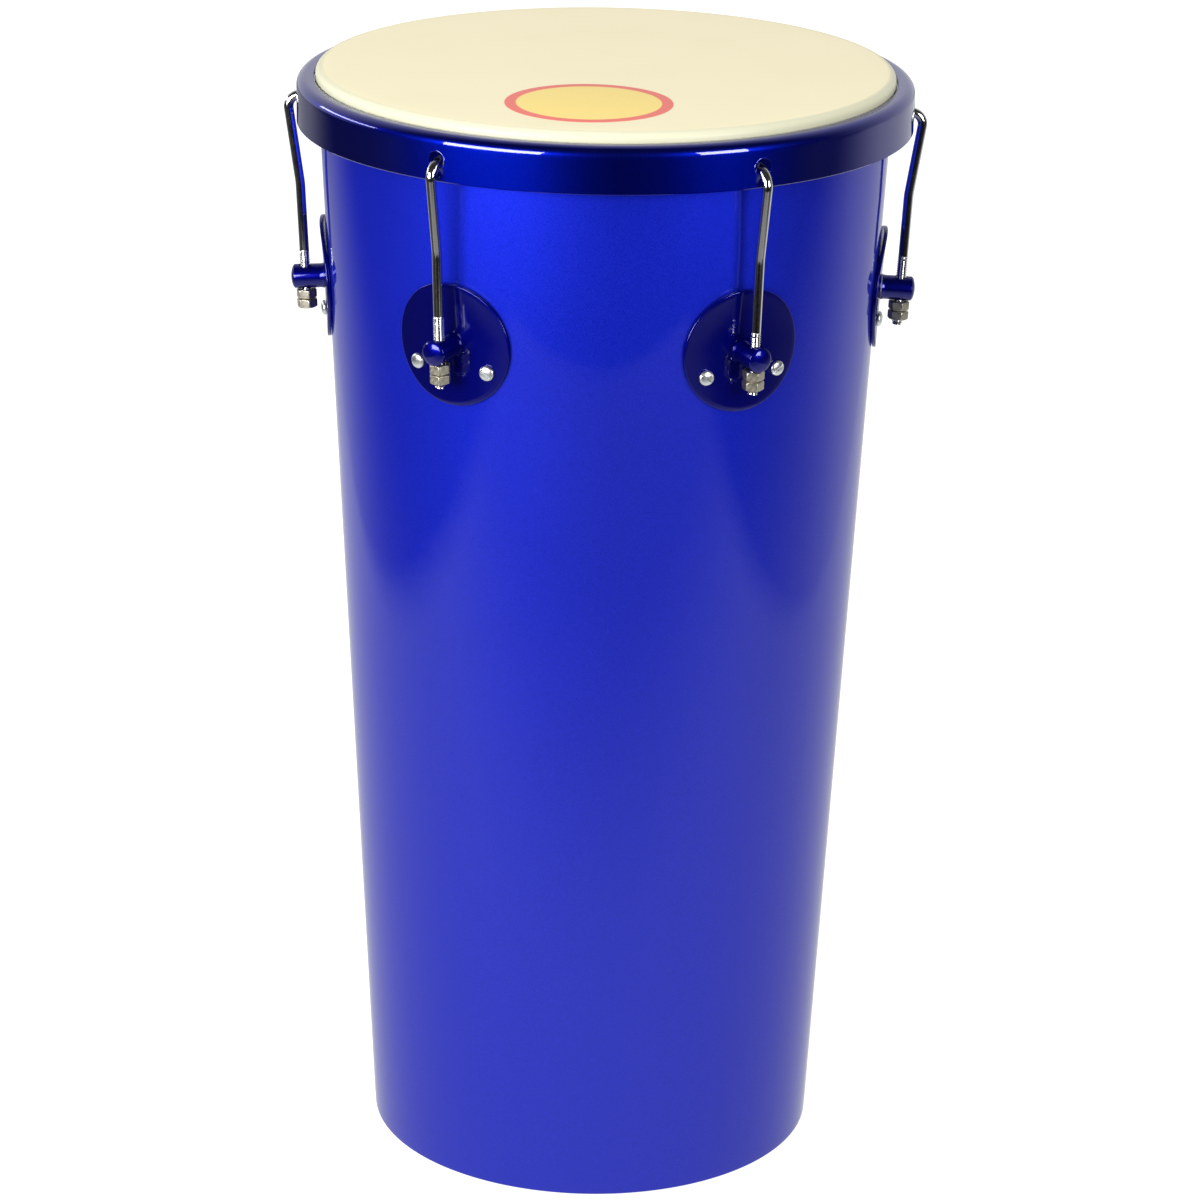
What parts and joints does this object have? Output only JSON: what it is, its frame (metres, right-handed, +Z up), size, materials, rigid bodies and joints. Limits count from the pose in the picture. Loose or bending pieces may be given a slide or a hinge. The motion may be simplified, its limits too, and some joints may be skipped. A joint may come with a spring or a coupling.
{
  "type": "rebolo drum",
  "caption": "Tall conical metal hand drum with a blue shell, a cream head, a dark counter hoop and hooked tension rods held in round lug plates by nuts.",
  "frame": {"origin": "centre of the drum's open bottom rim, on the floor it stands on", "axes": "+Z up along the drum's axis to the head, -Y the side the picture shows, lugs at azimuths 30, 90 and 150 degrees to each side of -Y"},
  "size_m": [0.3406, 0.3262, 0.6008],
  "materials": {
    "shell_paint": "gloss",
    "hoop_paint": "gloss",
    "lug_paint": "gloss",
    "head_film": "satin",
    "bare_aluminium": "satin",
    "chrome": "polished",
    "nut_nickel": "satin",
    "screw_zinc": "satin"
  },
  "bodies": {
    "shell": {"shell": "shell_paint", "drumhead": "head_film", "lug_plate_1": "lug_paint", "lug_plate_2": "lug_paint", "lug_plate_3": "lug_paint", "lug_plate_4": "lug_paint", "lug_plate_5": "lug_paint", "lug_plate_6": "lug_paint", "lug_post_1": "lug_paint", "lug_post_2": "lug_paint", "lug_post_3": "lug_paint", "lug_post_4": "lug_paint", "lug_post_5": "lug_paint", "lug_post_6": "lug_paint", "plate_screw_1_left": "screw_zinc", "plate_screw_1_right": "screw_zinc", "plate_screw_2_left": "screw_zinc", "plate_screw_2_right": "screw_zinc", "plate_screw_3_left": "screw_zinc", "plate_screw_3_right": "screw_zinc", "plate_screw_4_left": "screw_zinc", "plate_screw_4_right": "screw_zinc", "plate_screw_5_left": "screw_zinc", "plate_screw_5_right": "screw_zinc", "plate_screw_6_left": "screw_zinc", "plate_screw_6_right": "screw_zinc", "screw_nut_1_left": "screw_zinc", "screw_nut_1_right": "screw_zinc", "screw_nut_2_left": "screw_zinc", "screw_nut_2_right": "screw_zinc", "screw_nut_3_left": "screw_zinc", "screw_nut_3_right": "screw_zinc", "screw_nut_4_left": "screw_zinc", "screw_nut_4_right": "screw_zinc", "screw_nut_5_left": "screw_zinc", "screw_nut_5_right": "screw_zinc", "screw_nut_6_left": "screw_zinc", "screw_nut_6_right": "screw_zinc"},
    "rim": {"rim_hoop": "hoop_paint", "flesh_hoop": "bare_aluminium", "hook_1": "chrome", "hook_2": "chrome", "hook_3": "chrome", "hook_4": "chrome", "hook_5": "chrome", "hook_6": "chrome"},
    "nuts_1": {"tension_nut_1": "nut_nickel", "lock_nut_1": "nut_nickel"},
    "nuts_2": {"tension_nut_2": "nut_nickel", "lock_nut_2": "nut_nickel"},
    "nuts_3": {"tension_nut_3": "nut_nickel", "lock_nut_3": "nut_nickel"},
    "nuts_4": {"tension_nut_4": "nut_nickel", "lock_nut_4": "nut_nickel"},
    "nuts_5": {"tension_nut_5": "nut_nickel", "lock_nut_5": "nut_nickel"},
    "nuts_6": {"tension_nut_6": "nut_nickel", "lock_nut_6": "nut_nickel"}
  },
  "joints": [
    {"name": "rim_slide", "type": "slide", "parent": "shell", "child": "rim", "axis": [0, 0, 1], "range_m": [-0.004, 0.0015]},
    {"name": "nut_turn_1", "type": "hinge", "parent": "shell", "child": "nuts_1", "pos_m": [-0.07953, -0.13775, 0.47357], "axis": [-0.0247, -0.0428, 0.9988], "range_deg": [-425.2, 1133.86]},
    {"name": "nut_turn_2", "type": "hinge", "parent": "shell", "child": "nuts_2", "pos_m": [0.07953, -0.13775, 0.47357], "axis": [0.0247, -0.0428, 0.9988], "range_deg": [-425.2, 1133.86]},
    {"name": "nut_turn_3", "type": "hinge", "parent": "shell", "child": "nuts_3", "pos_m": [0.15906, 0, 0.47357], "axis": [0.0494, 0, 0.9988], "range_deg": [-425.2, 1133.86]},
    {"name": "nut_turn_4", "type": "hinge", "parent": "shell", "child": "nuts_4", "pos_m": [0.07953, 0.13775, 0.47357], "axis": [0.0247, 0.0428, 0.9988], "range_deg": [-425.2, 1133.86]},
    {"name": "nut_turn_5", "type": "hinge", "parent": "shell", "child": "nuts_5", "pos_m": [-0.07953, 0.13775, 0.47357], "axis": [-0.0247, 0.0428, 0.9988], "range_deg": [-425.2, 1133.86]},
    {"name": "nut_turn_6", "type": "hinge", "parent": "shell", "child": "nuts_6", "pos_m": [-0.15906, 0, 0.47357], "axis": [-0.0494, 0, 0.9988], "range_deg": [-425.2, 1133.86]}
  ],
  "couplings": [
    {"joint": "nut_turn_1", "follows": "rim_slide", "rad_per_m": -4947.4},
    {"joint": "nut_turn_2", "follows": "rim_slide", "rad_per_m": -4947.4},
    {"joint": "nut_turn_3", "follows": "rim_slide", "rad_per_m": -4947.4},
    {"joint": "nut_turn_4", "follows": "rim_slide", "rad_per_m": -4947.4},
    {"joint": "nut_turn_5", "follows": "rim_slide", "rad_per_m": -4947.4},
    {"joint": "nut_turn_6", "follows": "rim_slide", "rad_per_m": -4947.4}
  ]
}
